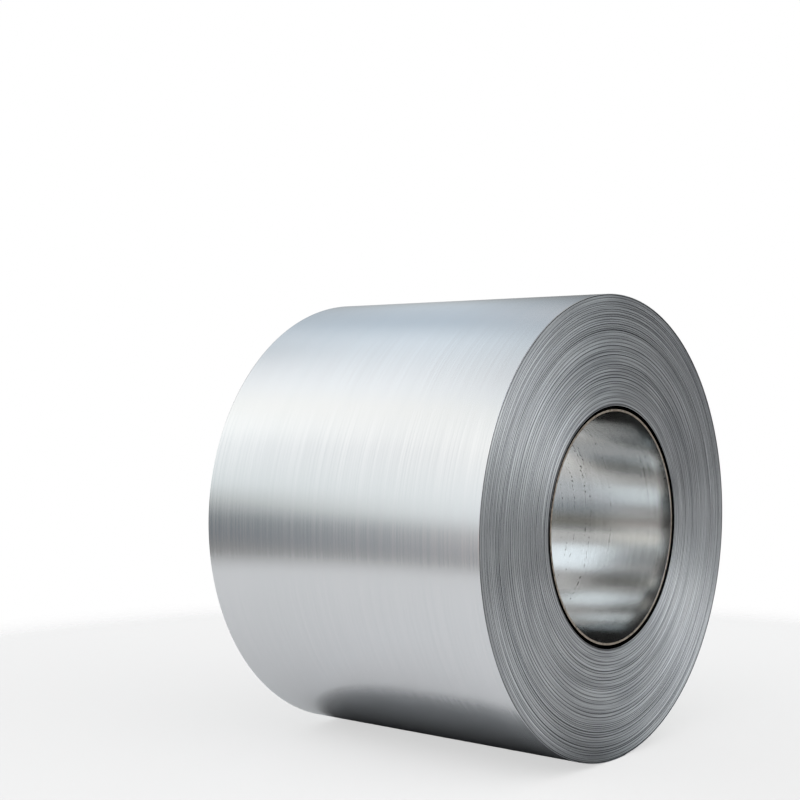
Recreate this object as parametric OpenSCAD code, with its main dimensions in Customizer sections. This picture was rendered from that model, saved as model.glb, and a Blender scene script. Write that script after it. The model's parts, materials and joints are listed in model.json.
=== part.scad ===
// A coil of aluminium strip, lying on its side with its axis along X.
// The origin is on the floor, under the middle of the coil. Lengths are in millimetres.

/* [Strip] */
// Width of the strip, from one slit edge to the other
strip_w = 750; // [600:10:900]
// Thickness of one turn of strip
strip_t = 1; // [0.8:0.1:1.5]
// Diameter over the outermost turn
coil_od = 1025; // [900:5:1200]

/* [Core sleeve] */
// Bore of the sleeve, which a mandrel or a hook enters
sleeve_bore = 508; // [400:1:560]
// Wall of the sleeve
sleeve_wall = 5; // [3:0.5:8]
// How far each end of the sleeve lies inside the slit edge of a turn
sleeve_inset = 2; // [1.5:0.5:20]
// Bevel on the inner and outer corners of the sleeve's ends
sleeve_bevel = 0.5; // [0.2:0.1:1]

/* [Winding] */
// Gap between the sleeve and the first turn
winding_gap = 0.3; // [0.1:0.1:0.6]
// Number of first turns, slit narrower, that leave a groove round the sleeve
lead_turns = 7; // [3:1:12]
// Depth of that groove at each end of the coil
lead_depth = 40; // [10:5:80]
// Number of turns that share one edge line
group_turns = 7; // [4:1:12]
// How far the edge lines wander along the axis
edge_wander = 2; // [0.5:0.5:4]

/* [Hidden] */

// Number of places that the edge lines can take along the axis
EDGE_PLACES = 5;
// Fraction of a full cycle from one group to the next, which never puts two neighbours in one place
EDGE_STEP = (sqrt(5) - 1) / 2;
ROUND_SIDES = 240;

coil_r = coil_od / 2;
sleeve_r = sleeve_bore / 2 + sleeve_wall;
seat_r = sleeve_r + winding_gap;
groove_r = seat_r + lead_turns * strip_t;
group_w = group_turns * strip_t;
groups = floor((coil_r - groove_r) / group_w);
lead_half_w = strip_w / 2 - lead_depth;
sleeve_half_l = strip_w / 2 - sleeve_inset;

function reversed(points) = [for (i = [len(points) - 1 : -1 : 0]) points[i]];

// Groups are counted inwards from the outermost turn. The innermost one takes the turns left over.
function group_outer_r(i) = coil_r - i * group_w;
function group_inner_r(i) = i == groups - 1 ? groove_r : group_outer_r(i + 1);

// Place of a group's edge lines, from -0.5 to 0.5 of the wander. Both edges of the strip move together.
function edge_place(i) = 0.5 - floor(EDGE_PLACES * (i * EDGE_STEP % 1)) / (EDGE_PLACES - 1);

// One slit edge, from the outermost turn inwards. side is 1 at the +X end and -1 at the other.
function slit_edge(side) = [
    for (i = [0 : groups - 1], r = [group_outer_r(i), group_inner_r(i)])
        [r, side * strip_w / 2 + edge_wander * edge_place(i)]
];

// The groove at one end, from its outer wall to the seat of the sleeve
function groove_floor(side) = [[groove_r, side * lead_half_w], [seat_r, side * lead_half_w]];

// Half of the winding's section: radius, then place along the axis
function winding_section() = concat(
    slit_edge(1),
    groove_floor(1),
    reversed(groove_floor(-1)),
    reversed(slit_edge(-1))
);

// One end of the sleeve's wall, with both corners bevelled
function sleeve_end(side) = [
    [sleeve_r, side * (sleeve_half_l - sleeve_bevel)],
    [sleeve_r - sleeve_bevel, side * sleeve_half_l],
    [sleeve_bore / 2 + sleeve_bevel, side * sleeve_half_l],
    [sleeve_bore / 2, side * (sleeve_half_l - sleeve_bevel)]
];

function sleeve_section() = concat(sleeve_end(1), reversed(sleeve_end(-1)));

// Turns a section about the coil's axis, which lies along X one radius above the floor
module turned(section) {
    translate([0, 0, coil_r])
        rotate([0, 90, 0])
            rotate_extrude($fn = ROUND_SIDES)
                polygon(section);
}

// The strip, wound tight: one turned solid whose ends show the edge lines of its turns
module wound_strip() {
    color("silver") turned(winding_section());
}

// The rolled steel sleeve that the strip is wound on
module core_sleeve() {
    color("darkgray") turned(sleeve_section());
}

wound_strip();
core_sleeve();
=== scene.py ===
# %% [markdown]
# # A coil of aluminium strip
# A mill sells thin aluminium as one long strip, wound tight on a steel sleeve. Rolled aluminium is bright
# along its face and dull along its slit edges, so a coil has two very different surfaces: a smooth drum
# that mirrors the room in soft bands, and two flat ends on which hundreds of turns lie side by side.
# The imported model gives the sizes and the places. This script adds what the eye looks for.

# %% Load the frame
import json
import math

import bmesh
import bpy
import numpy as np
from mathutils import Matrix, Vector


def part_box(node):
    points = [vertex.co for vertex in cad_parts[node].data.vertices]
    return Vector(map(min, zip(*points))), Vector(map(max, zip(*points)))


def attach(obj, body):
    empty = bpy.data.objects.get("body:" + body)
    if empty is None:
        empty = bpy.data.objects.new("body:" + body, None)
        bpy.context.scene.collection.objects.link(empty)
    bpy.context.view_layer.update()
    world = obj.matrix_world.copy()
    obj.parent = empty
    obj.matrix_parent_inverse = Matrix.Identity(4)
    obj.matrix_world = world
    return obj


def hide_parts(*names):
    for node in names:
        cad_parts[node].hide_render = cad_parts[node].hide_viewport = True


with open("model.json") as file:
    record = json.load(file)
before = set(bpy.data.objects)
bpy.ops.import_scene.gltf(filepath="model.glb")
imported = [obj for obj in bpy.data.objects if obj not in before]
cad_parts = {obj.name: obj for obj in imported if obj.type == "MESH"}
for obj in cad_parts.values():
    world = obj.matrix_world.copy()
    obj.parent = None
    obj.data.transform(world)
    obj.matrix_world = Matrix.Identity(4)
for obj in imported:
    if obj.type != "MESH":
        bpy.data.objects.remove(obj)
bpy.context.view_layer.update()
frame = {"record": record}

# %% [markdown]
# ## Sizes
# Everything is turned about one axis, so a radius and a place along X say where a point is. The outer
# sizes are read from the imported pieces. The groove round the sleeve can't be read from a box: it is as
# wide as seven turns of strip and 40 mm deep, and the first turns lie 0.3 mm off the sleeve.

# %% Sizes
MM = 0.001
STRIP_T = 1 * MM
SLIT_WANDER = 1 * MM
SLEEVE_GAP = 0.3 * MM
GROOVE_DEPTH = 40 * MM
LEAD_TURNS = 7

strip_low, strip_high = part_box("wound_strip")
sleeve_low, sleeve_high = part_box("core_sleeve")
axis_z = (sleeve_low.z + sleeve_high.z) / 2
coil_r = axis_z - strip_low.z
half_w = strip_high.x - SLIT_WANDER
sleeve_half_l = sleeve_high.x
sleeve_r = sleeve_high.z - axis_z
bore_r = next(m for m in frame["record"]["mounts"] if m["name"] == "bore")["dims"]["r_mm"] * MM
seat_r = sleeve_r + SLEEVE_GAP
groove_r = seat_r + LEAD_TURNS * STRIP_T
print(f"coil {2 * coil_r:.3f} m across, strip {2 * half_w:.3f} m wide, bore {2 * bore_r:.3f} m")

# %% [markdown]
# ## Helpers for shapes
# A lathe would turn these shapes from an outline, but a wound strip is a spiral and not a ring: each turn
# ends where the next one starts. So the meshes are written as rows of points that run once round the
# axis. Every piece is a closed shell, which lets Blender find the outer side of its faces by itself.

# %% Points round the axis, and pieces made of them
TAIL = math.radians(275)
SHARP_CORNER = math.radians(65)
LOOKS_ALONG = 0.3


def around(radius, angle, x):
    """Points at a radius, an angle and a place along the axis. Angle 0 is +Y, and 90 degrees is up."""
    radius, angle, x = np.broadcast_arrays(radius, angle, x)
    return np.stack([x, radius * np.cos(angle), axis_z + radius * np.sin(angle)], axis=-1).reshape(-1, 3)


def piece(name, points, faces, slot, face_metal, edge_metal):
    """A closed mesh on the coil's one body. Faces that look along the axis get the edge metal."""
    mesh = bpy.data.meshes.new(name)
    mesh.from_pydata(np.asarray(points).tolist(), [], faces)
    shell = bmesh.new()
    shell.from_mesh(mesh)
    bmesh.ops.recalc_face_normals(shell, faces=shell.faces)
    open_edges = sum(not edge.is_manifold for edge in shell.edges)
    shell.to_mesh(mesh)
    shell.free()
    mesh.materials.append(face_metal)
    mesh.materials.append(edge_metal)
    normals = np.zeros(len(mesh.polygons) * 3)
    mesh.polygons.foreach_get("normal", normals)
    along = np.abs(normals.reshape(-1, 3)[:, 0]) > LOOKS_ALONG
    mesh.polygons.foreach_set("material_index", along.astype(np.int32))
    mesh.shade_smooth()
    mesh.set_sharp_from_angle(angle=SHARP_CORNER)
    made = bpy.data.objects.new(name, mesh)
    bpy.context.collection.objects.link(made)
    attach(made, "root")
    triangles = sum(len(p.vertices) - 2 for p in mesh.polygons)
    print(f"{name}: {len(mesh.vertices)} points, {triangles} triangles, {open_edges} open edges")
    return made


def lathe(outline, segments):
    """Points and faces of a closed outline of (radius, x), turned once round the axis."""
    outline = np.asarray(outline)
    turn = np.arange(segments) * math.tau / segments
    points = around(outline[:, :1], turn[None, :], outline[:, 1:])
    i, j = np.meshgrid(np.arange(len(outline)), np.arange(segments), indexing="ij")
    row, next_row, next_j = i * segments, (i + 1) % len(outline) * segments, (j + 1) % segments
    faces = np.stack([row + j, row + next_j, next_row + next_j, next_row + j], axis=-1)
    return points, faces.reshape(-1, 4).tolist()


# %% [markdown]
# ## Helpers for finishes
# A finish is a small tree of nodes. One function starts a material with the plain values of its shader.
# Another adds a node, sets it and joins it to the nodes before it, so a material reads from top to
# bottom like a recipe. Colours are written as on a paint chart, in sRGB, and one function turns them to
# the linear light that Blender counts in.

# %% Colours, materials and nodes
def linear(code, alpha=1.0):
    """A colour such as 'C0C4C8' as linear light."""
    channels = [int(code[i:i + 2], 16) / 255 for i in (0, 2, 4)]
    return [c / 12.92 if c <= 0.04045 else ((c + 0.055) / 1.055) ** 2.4 for c in channels] + [alpha]


def new_material(name, values):
    """A new material, its tree and its shader, with some of the shader's sockets set."""
    material = bpy.data.materials.new(name)
    material.use_nodes = True
    tree = material.node_tree
    shader = tree.nodes["Principled BSDF"]
    for socket, value in values.items():
        shader.inputs[socket].default_value = value
    return material, tree, shader


def add(tree, kind, inputs=None, stops=(), **settings):
    """Adds a node. inputs gives each socket a value or another node's output, and stops colour a ramp."""
    made = tree.nodes.new("ShaderNode" + kind)
    for name, value in settings.items():
        setattr(made, name, value)
    for key, value in (inputs or {}).items():
        if isinstance(value, bpy.types.NodeSocket):
            tree.links.new(value, made.inputs[key])
        else:
            made.inputs[key].default_value = value
    for number, (position, code) in enumerate(stops):
        elements = made.color_ramp.elements
        element = elements[number] if number < 2 else elements.new(position)
        element.position, element.color = position, linear(code)
    return made


# %% [markdown]
# ## Lines round the axis
# Rolling and slitting both draw lines along the strip, so on the coil every line runs round the axis.
# Noise gets that look when it changes fast across the lines and slowly along them. Its coordinates are
# the radius, the place along the axis, and the direction from the axis, which closes on itself. Metal
# with such lines is smoother in some of them than in others, and it draws a light out across them all.

# %% Noise and gloss that follow the lines
QUARTER_TURN = 0.25


def off_axis(tree):
    """The direction from the axis to a point, the point's radius, and its place along the axis."""
    place = add(tree, "TexCoord").outputs["Object"]
    centred = add(tree, "VectorMath", {0: place, 1: (0, 0, axis_z)}, operation="SUBTRACT").outputs[0]
    flat = add(tree, "VectorMath", {0: centred, 1: (0, 1, 1)}, operation="MULTIPLY").outputs[0]
    outwards = add(tree, "VectorMath", {0: flat}, operation="NORMALIZE").outputs[0]
    radius = add(tree, "VectorMath", {0: flat}, operation="LENGTH").outputs["Value"]
    return outwards, radius, add(tree, "SeparateXYZ", {0: centred}).outputs["X"]


def line_noise(tree, across, per_metre, arcs, detail=2.0, roughness=0.5):
    """Lines of noise round the axis: some per metre of 'radius' or 'axial' way, in some arcs to a turn."""
    outwards, radius, along = off_axis(tree)
    line = radius if across == "radius" else along
    stretched = add(tree, "VectorMath", {0: outwards, 1: (0, arcs, arcs)}, operation="MULTIPLY").outputs[0]
    scaled = add(tree, "Math", {0: line, 1: per_metre}, operation="MULTIPLY").outputs[0]
    offset = add(tree, "CombineXYZ", {"X": scaled}).outputs[0]
    vector = add(tree, "VectorMath", {0: stretched, 1: offset}, operation="ADD").outputs[0]
    settings = {"Vector": vector, "Scale": 1.0, "Detail": detail, "Roughness": roughness}
    return add(tree, "TexNoise", settings).outputs["Fac"]


def lined_metal(name, pull):
    """A bare metal with lines round the axis. pull is how far it draws a light out across them."""
    values = {"Metallic": 1.0, "Anisotropic": pull, "Anisotropic Rotation": QUARTER_TURN}
    return new_material(name, values)


def follow_lines(tree, shader, colour, lines, gloss, strength, depth):
    """Joins the shader to its colour, and to a gloss and a relief that follow the lines.

    gloss is the shader's roughness in a dark line and in a light one. strength and depth are the relief's.
    """
    in_dark, in_light = gloss
    rough = add(tree, "MapRange", {"Value": lines, 1: 0.35, 2: 0.65, 3: in_dark, 4: in_light})
    relief = add(tree, "Bump", {"Height": lines, "Strength": strength, "Distance": depth})
    tangent = add(tree, "Tangent", direction_type="RADIAL", axis="X")
    tree.links.new(colour, shader.inputs["Base Color"])
    tree.links.new(rough.outputs["Result"], shader.inputs["Roughness"])
    tree.links.new(relief.outputs["Normal"], shader.inputs["Normal"])
    tree.links.new(tangent.outputs["Tangent"], shader.inputs["Tangent"])


# %% [markdown]
# ## Mill-finish rolled aluminium
# This is the face of the strip. Ground steel rolls press their fine grinding lines into it, so it is
# bright, but a light is drawn out across the lines, along the coil's axis. The real lines are about
# 0.05 mm apart. They are drawn here at 3 mm and 25 mm, as coarse as they need to be to show. A lighter
# line is a little rougher too, so the lines show most where the drum mirrors something dark. In the
# groove at the sleeve the same metal is painted nearly black, as painted shade for the deep groove.

# %% Finish of the strip's face
face_metal, tree, shader = lined_metal("mill_finish_aluminium", 0.6)
fine = line_noise(tree, "axial", 330, 0.5)
broad = line_noise(tree, "axial", 40, 0.6)
both = add(tree, "Mix", {0: 0.2, 2: fine, 3: broad}).outputs[0]
shade = add(tree, "ValToRGB", {"Fac": both}, stops=[(0.35, "DEE1E3"), (0.65, "E4E6E8")])
_, radius, _ = off_axis(tree)
# Painted shade: inside the groove round the sleeve, the metal's colour is taken nearly to black.
out_of_shade = add(tree, "MapRange", {"Value": radius, 1: groove_r + 1.5 * MM, 2: groove_r + 3 * MM, 3: 0.0, 4: 1.0})
painted_shading = add(tree, "ValToRGB", {"Fac": out_of_shade.outputs["Result"]}, stops=[(0.0, "101112"), (1.0, "FFFFFF")])
colour = add(tree, "Mix", {0: 1.0, 6: shade.outputs["Color"], 7: painted_shading.outputs["Color"]},
             data_type="RGBA", blend_type="MULTIPLY")
follow_lines(tree, shader, colour.outputs[2], fine, gloss=(0.189, 0.245), strength=0.04, depth=0.2 * MM)
print(face_metal.name, len(tree.nodes), "nodes")

# %% [markdown]
# ## Slit aluminium edges
# Round knives shear the strip to width. Half of each edge is burnished by the knife and half is torn,
# so the ends of the coil are a dull grey. The colour darkens with a turn's depth below the end of the
# coil, as painted shade with some oil and dust. A turn that stands proud is painted lighter, as a
# painted highlight. The marks run round the axis, so a light is drawn out along the radius, and each
# end shines in two broad fans.

# %% Finish of the slit edges
edge_metal, tree, shader = lined_metal("slit_aluminium_edge", 0.95)
turns = line_noise(tree, "radius", 330, 2.0, detail=1.0, roughness=0.6)
_, _, along = off_axis(tree)
out = add(tree, "Math", {0: along}, operation="ABSOLUTE").outputs[0]
# Painted shade with some oil and dust: the colour darkens with a turn's depth below the end of the coil. A
# turn that stands proud is painted lighter, as a painted highlight.
out_of_shade = add(tree, "MapRange", {"Value": out, 1: half_w - 4.2 * MM, 2: half_w + 0.6 * MM, 3: 0.0, 4: 1.0})
shade = add(tree, "ValToRGB", {"Fac": turns}, stops=[(0.36, "C7CACE"), (0.64, "EFF3F5")])
painted_shading = add(tree, "ValToRGB", {"Fac": out_of_shade.outputs["Result"]},
            stops=[(0.0, "0C0C0D"), (1.0, "FFFFFF"), (0.42, "484949"), (0.71, "C4C4C4"), (0.88, "E8E8E8")])
colour = add(tree, "Mix", {0: 1.0, 6: shade.outputs["Color"], 7: painted_shading.outputs["Color"]},
             data_type="RGBA", blend_type="MULTIPLY")
follow_lines(tree, shader, colour.outputs[2], turns, gloss=(0.47, 0.38), strength=0.15, depth=0.5 * MM)
print(edge_metal.name, len(tree.nodes), "nodes")

# %% [markdown]
# ## Rolled steel, and its cut end
# The sleeve is a steel tube with a smooth bore that mandrels have polished and scored in rings. Small
# dark pits lie in rows along the rings. Real ones are under half a millimetre, and here they are 1 to
# 2 mm long, so that they show. Outside the bore the tube is painted nearly black, as painted shade for
# the deep groove round it. Its cut ends are dull, with a thin tan film of rust.

# %% Finish of the sleeve's bore
bore_metal, tree, shader = lined_metal("rolled_steel", 0.5)
rings = line_noise(tree, "axial", 330, 0.5, detail=1.0)
shade = add(tree, "ValToRGB", {"Fac": rings}, stops=[(0.35, "E2E2E1"), (0.65, "E8E8E7")])
rows = line_noise(tree, "axial", 140, 0.3, detail=0.0)
dots = line_noise(tree, "axial", 400, 50, detail=0.0)
pits = add(tree, "Math", {0: rows, 1: dots}, operation="MAXIMUM").outputs[0]
pitted = add(tree, "ValToRGB", {"Fac": pits}, stops=[(0.31, "75716D"), (0.36, "FFFFFF")])
inside = add(tree, "Mix", {0: 1.0, 6: shade.outputs["Color"], 7: pitted.outputs["Color"]},
             data_type="RGBA", blend_type="MULTIPLY")
# Painted shade: past the bore, on the wall that lines the deep groove, the steel's colour is taken nearly to
# black.
_, radius, _ = off_axis(tree)
outer = add(tree, "MapRange", {"Value": radius, 1: bore_r + 1 * MM, 2: bore_r + 2 * MM, 3: 0.0, 4: 1.0})
painted_groove_shade = add(tree, "ValToRGB", {"Fac": outer.outputs["Result"]}, stops=[(0.0, "FFFFFF"), (1.0, "1B1C1E")])
colour = add(tree, "Mix", {0: 1.0, 6: inside.outputs[2], 7: painted_groove_shade.outputs["Color"]},
             data_type="RGBA", blend_type="MULTIPLY")
follow_lines(tree, shader, colour.outputs[2], rings, gloss=(0.14, 0.155), strength=0.03, depth=0.2 * MM)
print(bore_metal.name, len(tree.nodes), "nodes")

# %% Finish of the sleeve's cut ends
cut_metal, tree, shader = new_material("oxidised_cut_steel", {"Metallic": 0.35, "Roughness": 0.6})
place = add(tree, "TexCoord").outputs["Object"]
settings = {"Vector": place, "Scale": 160.0, "Detail": 4.0, "Roughness": 0.7}
rust = add(tree, "TexNoise", settings).outputs["Fac"]
shade = add(tree, "ValToRGB", {"Fac": rust}, stops=[(0.34, "443B33"), (0.62, "A89E92"), (0.44, "857A6D")])
relief = add(tree, "Bump", {"Height": rust, "Strength": 0.4, "Distance": 0.4 * MM})
tree.links.new(shade.outputs["Color"], shader.inputs["Base Color"])
tree.links.new(relief.outputs["Normal"], shader.inputs["Normal"])
print(cut_metal.name, len(tree.nodes), "nodes")

# %% [markdown]
# ## The outermost turn
# The last turn of strip is the drum that the eye sees first. It is built as the sheet that it is, 1 mm
# thick: it starts one thickness further in, comes out by that much in one round, and ends in a low step,
# its tail, which the coil's weight holds down on the floor. Rolled strip is never quite flat, so a wave
# of about a tenth of a millimetre runs through it, and the reflections bend a little.

# %% Smooth noise over the radius or width, and the angle
chance = np.random.default_rng(7)


def smooth_noise(place, angle, across, arcs):
    """Noise from -1 to 1 that changes every `across` metres of place, and `arcs` times round the axis."""
    rows = int(np.ptp(place) / across) + 3
    grid = chance.uniform(-1, 1, (rows, arcs))
    u, v = (place - place.min()) / across, np.mod(angle / math.tau, 1) * arcs
    i, j = np.floor(u).astype(int), np.floor(v).astype(int) % arcs
    a, b = u - np.floor(u), v - np.floor(v)
    a, b = a * a * (3 - 2 * a), b * b * (3 - 2 * b)
    inner = grid[i, j] * (1 - b) + grid[i, (j + 1) % arcs] * b
    outer = grid[i + 1, j] * (1 - b) + grid[i + 1, (j + 1) % arcs] * b
    return inner * (1 - a) + outer * a


# %% Make the outermost turn
COLUMNS = 720
FACE_ROWS = 23
EDGE_ROW = 1.5 * MM
WAVE = 0.12 * MM
BREAK = 0.12 * MM

column = np.arange(COLUMNS + 1) / COLUMNS
angle = TAIL + column * math.tau
face_x = np.linspace(-1, 1, FACE_ROWS) * (half_w - EDGE_ROW)
face_x = np.concatenate([[BREAK - half_w], face_x, [half_w - BREAK]])
outline_x = np.concatenate([[-half_w], face_x, [half_w, half_w, -half_w]])
outline_r = np.concatenate([[-BREAK], np.zeros(len(face_x)), [-BREAK, -STRIP_T, -STRIP_T]])
rows = len(outline_x)
round_angle = np.broadcast_to(angle, (rows, COLUMNS + 1))
place = np.broadcast_to(outline_x[:, None], round_angle.shape)
wave = WAVE * (smooth_noise(place, round_angle, across=0.11, arcs=11) - 1) / 2
radius = coil_r - STRIP_T * (1 - column) + outline_r[:, None] + wave
drift = 0.5 * SLIT_WANDER * smooth_noise(np.zeros_like(place), round_angle, across=1.0, arcs=5)
points = around(radius, round_angle, place + drift)
i, j = np.meshgrid(np.arange(rows), np.arange(COLUMNS), indexing="ij")
row, next_row = i * (COLUMNS + 1), (i + 1) % rows * (COLUMNS + 1)
faces = np.stack([row + j, row + j + 1, next_row + j + 1, next_row + j], axis=-1).reshape(-1, 4).tolist()
for end in (0, COLUMNS):
    faces.append([k * (COLUMNS + 1) + end for k in range(rows)])
outer_turn = piece("outer_turn", points, faces, "strip", face_metal, edge_metal)
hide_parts("wound_strip")

# %% [markdown]
# ## The ends of the turns
# A slitter cuts the strip straight, but it is never wound quite straight. A few turns in a row lie
# level, then the strip shifts by some tenths of a millimetre, and the step shows as a thin line that
# fades in and out round the coil. Here and there a turn has sunk in and leaves a dark gap, or stands
# proud and catches the light; the edges' finish adds painted shade to a sunk turn and a painted
# highlight to a proud one. At the groove the innermost turns are loose, and a dark gap runs between
# them and the rest. All of it is drawn along the strip's own length, counted in turns, so
# each line runs on in one spiral. The 244 turns have their real thickness, with three rows of points
# to a turn: the gap beside it, and both corners of its edge.

# %% Ways of the strip's edge
SEGMENTS = 128
TURNS = 244
ACROSS = np.array([0.0, 0.18, 0.82])
GAP_DEPTH = 0.12 * MM
RIM = 12 * MM
# The height that each cause gives an edge, in millimetres
DRIFT = 0.06
LEVEL = 0.08
RIPPLE = 0.1
PROUD = 0.6
SUNK = 2.5
LOOSE = 0.6
SLIPPED = 1.8
# Lengths and places along the strip, in turns. A stack of turns lies level, then the strip shifts.
STACK = (4.0, 8.5)
SHIFT = 0.3
RAMP = 0.08
SUNK_FOR = (0.9, 1.8)
PROUD_FOR = (0.2, 1.0)
PROUD_AFTER = 2.2
LOOSE_TO = 2.0
SLIPPED_AT = 3.2
SLIPPED_FOR = 1.4
# A sunk or proud stretch has between these shares of the full height
WEAKEST = 0.4
STRONGEST = 0.8

column = np.arange(SEGMENTS)
pitch = (coil_r - 2 * STRIP_T - groove_r) / TURNS
length = np.arange(-1, TURNS + 2)[:, None] + column / SEGMENTS


def ease(share):
    """A smooth step from 0 to 1."""
    share = np.clip(share, 0, 1)
    return share * share * (3 - 2 * share)


def ring_noise(rings, arcs):
    """Noise from -1 to 1 round each of some rings, with its own start on each ring."""
    knots = chance.uniform(-1, 1, (rings, arcs))
    place = (column / SEGMENTS + chance.uniform(0, 1, (rings, 1))) * arcs
    knot, share = np.floor(place).astype(int), ease(place % 1)
    ring = np.arange(rings)[:, None]
    return knots[ring, knot % arcs] * (1 - share) + knots[ring, (knot + 1) % arcs] * share


def strip_noise(per_turn):
    """Noise from -1 to 1 along the strip, with some places to a turn."""
    place = (length + 1) * per_turn
    knots = chance.uniform(-1, 1, int(place.max()) + 2)
    knot, share = np.floor(place).astype(int), ease(place % 1)
    return knots[knot] * (1 - share) + knots[knot + 1] * share


def stretches(starts, shortest, longest):
    """How much each place belongs to a stretch of strip, from 0 to 1. All three are counted in turns."""
    most = np.zeros(length.shape)
    sizes = chance.uniform((shortest, WEAKEST), (longest, STRONGEST), (len(starts), 2))
    for start, (stretch, size) in zip(starts, sizes):
        inside = np.minimum(length - start, start + stretch - length)
        most = np.maximum(most, size * ease(inside / RAMP))
    return most


def edge_heights():
    """How far the strip's edge stands out along the axis, on each turn from -1 to one past the last."""
    radius = groove_r + pitch * length
    angle = np.broadcast_to(TAIL + column / SEGMENTS * math.tau, radius.shape)
    drift = smooth_noise(radius, angle, across=40 * MM, arcs=5)
    shifts = np.cumsum(chance.uniform(*STACK, int(TURNS / STACK[0]))) - STACK[1]
    shifts = shifts[shifts < TURNS]
    stack = np.searchsorted(shifts, length, side="right")
    levels = ring_noise(len(shifts) + 1, arcs=4)
    last = np.maximum(stack - 1, 0)
    share = ease((length - shifts[last]) / SHIFT)
    at = np.broadcast_to(column, length.shape)
    level = levels[last, at] * (1 - share) + levels[stack, at] * share
    sunk = stretches(shifts, *SUNK_FOR)
    proud = stretches(shifts + PROUD_AFTER, *PROUD_FOR)
    # The innermost turns are loose: two stand out, and the next three have slipped in.
    loose = LOOSE * ease(LOOSE_TO - length)
    loose -= SLIPPED * ease(SLIPPED_FOR - np.abs(length - SLIPPED_AT))
    rim = np.clip((radius - (coil_r - RIM)) / RIM, 0, 1)
    height = DRIFT * drift + LEVEL * level + RIPPLE * strip_noise(per_turn=5)
    height += PROUD * proud - SUNK * sunk + loose - rim ** 2
    return np.minimum(height * MM, SLIT_WANDER)


def wound_turns(name, side):
    """The wound turns from the middle of the coil to the slit edges at one end."""
    to_a_turn = len(ACROSS)
    rows = np.arange(TURNS * to_a_turn + 1)
    heights = edge_heights()
    turn, before = heights[1:-1], heights[:-2]
    gaps = np.minimum(turn, before) - GAP_DEPTH
    height = np.stack([gaps, turn, turn], axis=1).reshape(-1, SEGMENTS)[:len(rows)]
    place = rows // to_a_turn + ACROSS[rows % to_a_turn]
    radius = groove_r + pitch * (place[:, None] + column / SEGMENTS)
    front = around(radius, TAIL + column / SEGMENTS * math.tau, side * (half_w + height))

    # The last column of a turn joins the first column of the next turn, a turn's rows further out.
    last_row, last_column = rows[-1], column[-1]
    i, j = np.meshgrid(rows[:-1], column[:-1], indexing="ij")
    corner = i * SEGMENTS + j
    quads = np.stack([corner, corner + 1, corner + SEGMENTS + 1, corner + SEGMENTS], axis=-1)
    faces = quads.reshape(-1, 4).tolist()
    for i in rows[:-1 - to_a_turn]:
        here, there = i * SEGMENTS + last_column, (i + to_a_turn) * SEGMENTS
        faces.append([here, there, there + SEGMENTS, here + SEGMENTS])

    # Both rims run on to the middle of the coil, where a flat ring closes the shell.
    inner = [*column, *(i * SEGMENTS for i in range(to_a_turn, 0, -1))]
    outer = [*(last_row * SEGMENTS + column)]
    outer += [(last_row - i) * SEGMENTS + last_column for i in range(1, to_a_turn + 1)]
    middle = front[inner + outer] * (0, 1, 1)
    count, start = len(inner), len(front)
    for k in range(count):
        after = (k + 1) % count
        low, low_after = start + k, start + after
        faces.append([inner[k], inner[after], low_after, low])
        faces.append([outer[k], outer[after], low_after + count, low + count])
        faces.append([low, low_after, low_after + count, low + count])
    made = piece(name, np.concatenate([front, middle]), faces, "strip", face_metal, edge_metal)
    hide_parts("wound_strip")


wound_turns("near_turns", 1)
wound_turns("far_turns", -1)

# %% [markdown]
# ## The first turns and the sleeve
# Nothing of these two is a spiral that can be seen, so both are turned as on a lathe. The first turns
# are slit narrower and sit deep in the dark groove. The sleeve's cut ends have broken corners.

# %% Make the first turns
ROUND = 256
# Points across one edge, as a share of the strip's thickness and a depth: both corners are broken
EDGE_POINTS = ((0.05, 0.3 * MM), (0.25, 0.0), (0.75, 0.0), (0.95, 0.3 * MM))
lead_half_w = half_w - GROOVE_DEPTH
edge = []
for turn in range(LEAD_TURNS):
    for across, depth in EDGE_POINTS:
        edge.append((seat_r + (turn + across) * STRIP_T, lead_half_w - depth))
outline = edge + [(r, -x) for r, x in reversed(edge)]
first_turns = piece("first_turns", *lathe(outline, ROUND), "strip", face_metal, edge_metal)
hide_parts("wound_strip")

# %% Make the sleeve
BEVEL = 0.8 * MM
BEVEL_POINTS = 4
BORE_RINGS = 7
corner = []
for share in np.linspace(0, 1, BEVEL_POINTS):
    bend = share * math.pi / 2
    corner.append((BEVEL * (1 - math.cos(bend)), BEVEL * (1 - math.sin(bend))))
end = [(sleeve_r - a, sleeve_half_l - b) for a, b in corner]
end += [(bore_r + a, sleeve_half_l - b) for a, b in reversed(corner)]
middle = [(bore_r, x) for x in np.linspace(0.9, -0.9, BORE_RINGS) * sleeve_half_l]
outline = end + middle + [(r, -x) for r, x in reversed(end)]
sleeve = piece("core_sleeve_tube", *lathe(outline, ROUND), "sleeve", bore_metal, cut_metal)
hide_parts("core_sleeve")

# %% [markdown]
# ## The studio
# A mirror has no colour of its own: a bright metal looks right only if the room round it does. The room
# is a soft light tent, painted as a sky. Its light depends on the angle round the coil's axis: a broad
# white light in front and above, a cooler one behind, and a dark line where the tent meets the floor in
# front. It depends on the side as well, in five zones from far left to far right, because each surface
# mirrors its own: the drum and the bore mirror the left and the middle, and the coil's near end mirrors
# the right. A zone is one ramp of colours round the axis, and neighbouring zones are mixed. Most of these
# colours and angles weren't chosen by hand: a least-squares fit, made by another program, gave them, and
# some were changed afterwards. A plain soft light would be simpler, and would match less closely.

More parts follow.
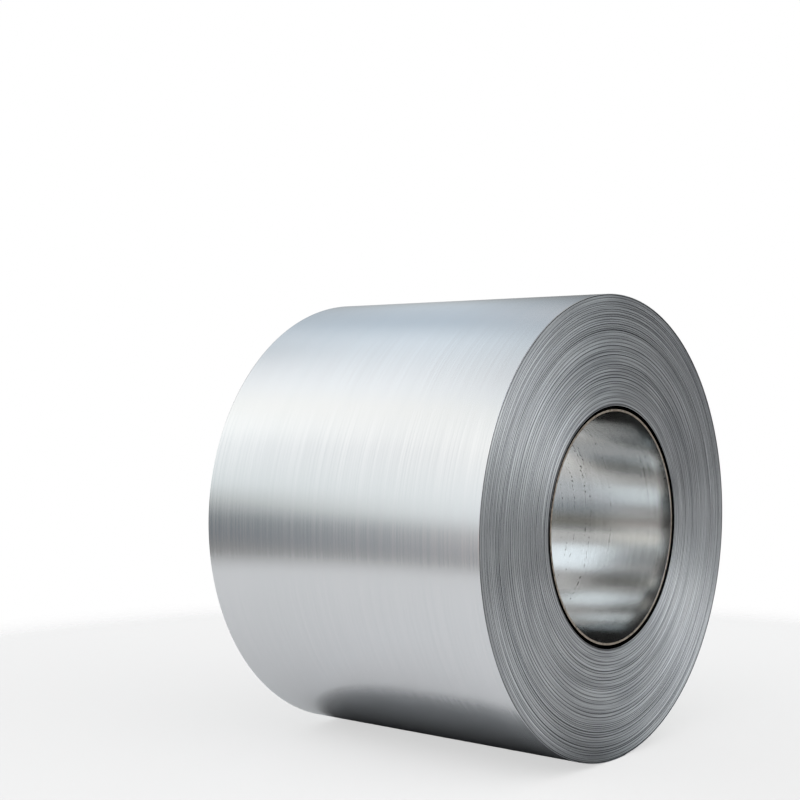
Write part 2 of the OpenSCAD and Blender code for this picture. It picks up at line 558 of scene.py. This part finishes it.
# %% The light tent
TENT_LIGHT = 2.0
world = bpy.data.worlds.new("light_tent")
bpy.context.scene.world = world
world.use_nodes = True
tree = world.node_tree
tree.nodes.clear()
direction = add(tree, "SeparateXYZ", {0: add(tree, "TexCoord").outputs["Generated"]})
towards = add(tree, "Math", {0: direction.outputs["Y"], 1: -1.0}, operation="MULTIPLY").outputs[0]
height = add(tree, "Math", {0: direction.outputs["Z"], 1: towards}, operation="ARCTAN2").outputs[0]
share = add(tree, "MapRange", {"Value": height, 1: -math.pi, 2: math.pi, 3: 0.0, 4: 1.0}).outputs["Result"]


def tent(*stops):
    """A ramp's stops from (angle, colour). The angle runs from the front horizon over the top."""
    return [((degrees + 180) / 360, code) for degrees, code in stops]


far_left = add(tree, "ValToRGB", {"Fac": share}, stops=tent(
    (-180, "000000"), (180, "000000"), (-150, "D2D4D6"), (-80, "D2D4D6"), (-45, "000000"),
    (6, "000000"), (16, "A2A8A9"), (50, "DEE1DF"), (90, "9E9E9E"), (106, "000000"),
    (125, "A5A4A2"), (150, "37322D")))
left = add(tree, "ValToRGB", {"Fac": share}, stops=tent(
    (-180, "7E7B73"), (180, "7E7B73"), (-22, "91908E"), (-12, "787D82"), (-3, "7C8386"),
    (6, "C1C4C2"), (38, "B0AFB1"), (62, "D3CFCA"), (75, "D6D7D8"), (106, "C7CED4"),
    (125, "939FAA"), (150, "9EA6AD")))
middle = add(tree, "ValToRGB", {"Fac": share}, stops=tent(
    (-180, "000000"), (180, "000000"), (-140, "7E94A6"), (-22, "000000"), (-3, "C9BCB7"),
    (6, "B1B4BB"), (38, "E9E7DF"), (62, "708491"), (75, "000000"), (106, "000000"),
    (125, "99928D"), (150, "0A0808")))
right = add(tree, "ValToRGB", {"Fac": share}, stops=tent(
    (-180, "757373"), (180, "757373"), (-140, "0B0A0A"), (-22, "C2C2BE"), (-3, "52484A"),
    (27, "A7A4A8"), (50, "E8E4E7"), (75, "C0BDC1"), (90, "B9BBBD"), (106, "979593"),
    (125, "ACAAA8"), (150, "999FA1")))
far_right = add(tree, "ValToRGB", {"Fac": share}, stops=tent(
    (-180, "000000"), (180, "000000"), (-60, "000000"), (-22, "E7E9EB"), (38, "909691"),
    (90, "F4F7F0"), (125, "F9F9FB"), (150, "D4D9E1")))

# Each zone takes over from the one before between two places along the coil's axis.
ZONES = ((left, -0.85, -0.6), (middle, -0.6, -0.45), (right, -0.35, 0.1), (far_right, 0.55, 0.9))
room = far_left.outputs["Color"]
for colour, start, end in ZONES:
    zone = add(tree, "MapRange", {"Value": direction.outputs["X"], 1: start, 2: end, 3: 0.0, 4: 1.0})
    sockets = {0: zone.outputs["Result"], 6: room, 7: colour.outputs["Color"]}
    room = add(tree, "Mix", sockets, data_type="RGBA").outputs[2]
lit = add(tree, "Background", {"Color": room, "Strength": TENT_LIGHT})
paper = add(tree, "Background", {"Color": linear("FFFFFF"), "Strength": 1.0})
seen = add(tree, "LightPath").outputs["Is Camera Ray"]
chosen = add(tree, "MixShader", {0: seen, 1: lit.outputs[0], 2: paper.outputs[0]})
add(tree, "OutputWorld", {"Surface": chosen.outputs[0]})
print("light tent:", len(tree.nodes), "nodes")

# %% [markdown]
# ## The floor
# The floor is pale and matt, so that the coil's own soft shadow grounds it. It fades out with distance,
# which takes the place of a paper sweep and looks the same from every side. To the eye, and not to the
# metal, it is partly see-through too, so it looks as pale as the white room behind it.

# %% The floor
FLOOR_R = 2.4
FADE_R = 1.5
HAZE = 0.6
MATT = {"Roughness": 1.0, "Specular IOR Level": 0.0}
floor_material, tree, shader = new_material("matt_white_floor", MATT | {"Base Color": linear("F4F4F4")})
place = add(tree, "TexCoord").outputs["Object"]
distance = add(tree, "VectorMath", {0: place}, operation="LENGTH").outputs["Value"]
fade = add(tree, "MapRange", {"Value": distance, 1: FADE_R, 2: FLOOR_R, 3: 0.0, 4: 1.0},
           interpolation_type="SMOOTHSTEP")
seen = add(tree, "LightPath").outputs["Is Camera Ray"]
haze = add(tree, "Math", {0: seen, 1: HAZE}, operation="MULTIPLY").outputs[0]
most = add(tree, "Math", {0: fade.outputs["Result"], 1: haze}, operation="MAXIMUM").outputs[0]
clear = add(tree, "BsdfTransparent")
mixed = add(tree, "MixShader", {0: most, 1: shader.outputs[0], 2: clear.outputs[0]})
tree.links.new(mixed.outputs[0], tree.nodes["Material Output"].inputs["Surface"])

bpy.ops.mesh.primitive_circle_add(vertices=96, radius=FLOOR_R, fill_type="NGON", location=(0, 0, strip_low.z))
floor = bpy.context.object
floor.name = "floor"
floor.data.materials.append(floor_material)
print("floor:", FLOOR_R, "m in radius")

# %% [markdown]
# ## A black card and a patch of light
# On a lit table the shadow right under a coil is nearly black, and the coil's belly mirrors it. Past the
# far end the table is bright, and that is what the bore mirrors. A soft room of light from all sides
# washes both out, so two cards with soft edges lie on the floor for the metal to mirror: a black one
# under the coil, and a clear one that glows past its far end. The black one is an oval, darkest along
# its middle, as a soft shadow is. Its greys are for the rim: in the coil's own shade they turn black.
# Neither the camera nor the floor sees the cards.

# %% The two cards
CARD_LIFT = 0.5 * MM


def soft_card(name, x, y, half_x, half_y, squareness, sharpness):
    """A card that only reflections see, clear at its edges. Gives its tree and the nodes to join up."""
    material, tree, shader = new_material(name, MATT)
    place = add(tree, "TexCoord").outputs["Object"]
    share = add(tree, "VectorMath", {0: place, 1: (half_x, half_y, 1)}, operation="DIVIDE").outputs[0]
    share = add(tree, "VectorMath", {0: share}, operation="ABSOLUTE").outputs[0]
    share = add(tree, "SeparateXYZ", {0: share})
    ends = add(tree, "Math", {0: share.outputs["X"], 1: squareness}, operation="POWER").outputs[0]
    sides = add(tree, "Math", {0: share.outputs["Y"], 1: squareness}, operation="POWER").outputs[0]
    oval = add(tree, "Math", {0: ends, 1: sides}, operation="ADD", use_clamp=True).outputs[0]
    fade = add(tree, "Math", {0: oval, 1: sharpness}, operation="POWER").outputs[0]
    clear = add(tree, "BsdfTransparent").outputs[0]
    mixed = add(tree, "MixShader", {0: fade, 2: clear})
    tree.links.new(mixed.outputs[0], tree.nodes["Material Output"].inputs["Surface"])
    bpy.ops.mesh.primitive_plane_add(size=2, location=(x, y, strip_low.z + CARD_LIFT))
    card = bpy.context.object
    card.name = name
    for vertex in card.data.vertices:
        vertex.co.x *= half_x
        vertex.co.y *= half_y
    card.data.materials.append(material)
    card.visible_camera = card.visible_diffuse = card.visible_shadow = False
    print(f"{name}: {2 * half_x:.2f} m by {2 * half_y:.2f} m")
    return tree, shader, clear, mixed


tree, shader, _, mixed = soft_card("black_card", x=0.06, y=0.0, half_x=0.445, half_y=0.385,
                                   squareness=3.0, sharpness=4.5)
place = add(tree, "SeparateXYZ", {0: add(tree, "TexCoord").outputs["Object"]})
aside = add(tree, "Math", {0: place.outputs["Y"]}, operation="ABSOLUTE").outputs[0]
shade = add(tree, "ValToRGB", {"Fac": aside}, stops=[(0.0, "424242"), (0.36, "9B9EA0")])
tree.links.new(shade.outputs["Color"], shader.inputs["Base Color"])
tree.links.new(shader.outputs[0], mixed.inputs[1])

tree, _, clear, mixed = soft_card("patch_of_light", x=-0.68, y=0.1, half_x=0.22, half_y=0.38,
                                  squareness=4.0, sharpness=1.0)
glow = add(tree, "Emission", {"Color": linear("E4F4FF"), "Strength": 1.15})
both = add(tree, "AddShader", {0: glow.outputs[0], 1: clear})
tree.links.new(both.outputs[0], mixed.inputs[1])

# %% [markdown]
# ## The camera
# The viewer stands to the right of the coil and in front of it, with the eye a little above its axis,
# and holds a moderately long lens level.

# %% The camera
EYE = Vector((2.041, -2.812, 0.297))
LOOK_AZIMUTH = math.radians(38.99)
LOOK_DOWN = math.radians(0.32)
LENS = 66.2

camera_data = bpy.data.cameras.new("camera")
camera_data.lens = LENS
camera = bpy.data.objects.new("camera", camera_data)
bpy.context.collection.objects.link(camera)
camera.location = Vector((0, 0, axis_z)) + EYE
camera.rotation_euler = (math.pi / 2 - LOOK_DOWN, 0, LOOK_AZIMUTH)
bpy.context.scene.camera = camera
bpy.context.scene.view_settings.view_transform = "Standard"
print("camera", camera.location[:])
